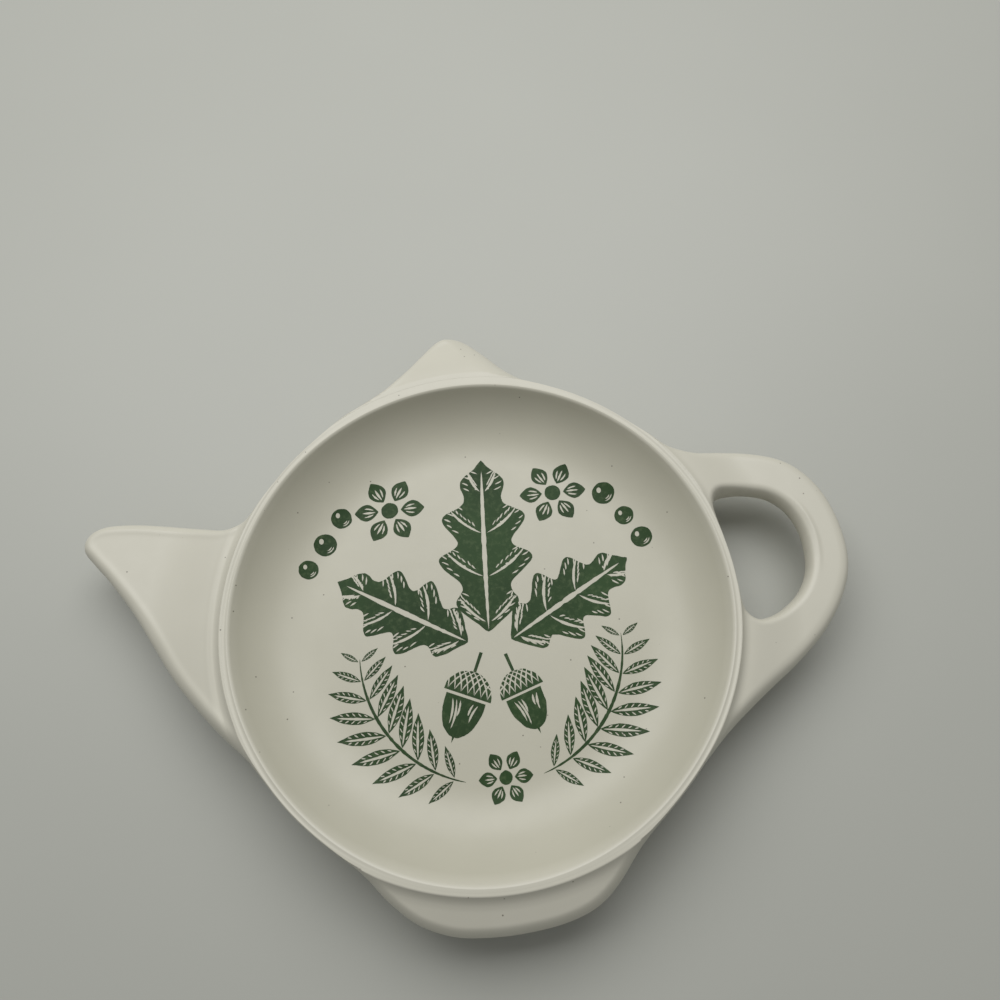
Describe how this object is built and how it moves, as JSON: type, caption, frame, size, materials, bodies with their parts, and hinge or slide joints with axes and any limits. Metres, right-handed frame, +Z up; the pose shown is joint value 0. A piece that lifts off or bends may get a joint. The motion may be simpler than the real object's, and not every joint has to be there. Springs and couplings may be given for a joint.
{
  "type": "tea bag rest",
  "caption": "Teapot-shaped ceramic rest for a used tea bag: a shallow round well with a raised rim, a flat spout, a loop handle, a pointed lid knob, a broad pot foot and a printed leaf sprig.",
  "frame": {"origin": "middle of the round well, on the table that the foot ring stands on", "axes": "+X from the well to the handle (the spout points to -X), +Y to the knob of the lid, +Z up out of the well"},
  "size_m": [0.1606, 0.1247, 0.017],
  "materials": {
    "glaze": "warm off-white satin glaze with a soft sheen and a few fine dark specks",
    "biscuit": "bare fired clay, ground flat underneath",
    "ink": "one dark green fired print with lines cut clean out of it, under the same satin glaze"
  },
  "bodies": {
    "root": {"dish": "glaze", "foot_ring": "biscuit", "spout": "glaze", "handle": "glaze", "lid_knob": "glaze", "pot_foot": "glaze", "print_oak_leaves": "ink", "print_acorns": "ink", "print_ferns": "ink", "print_berries": "ink", "print_flowers": "ink"}
  },
  "joints": []
}
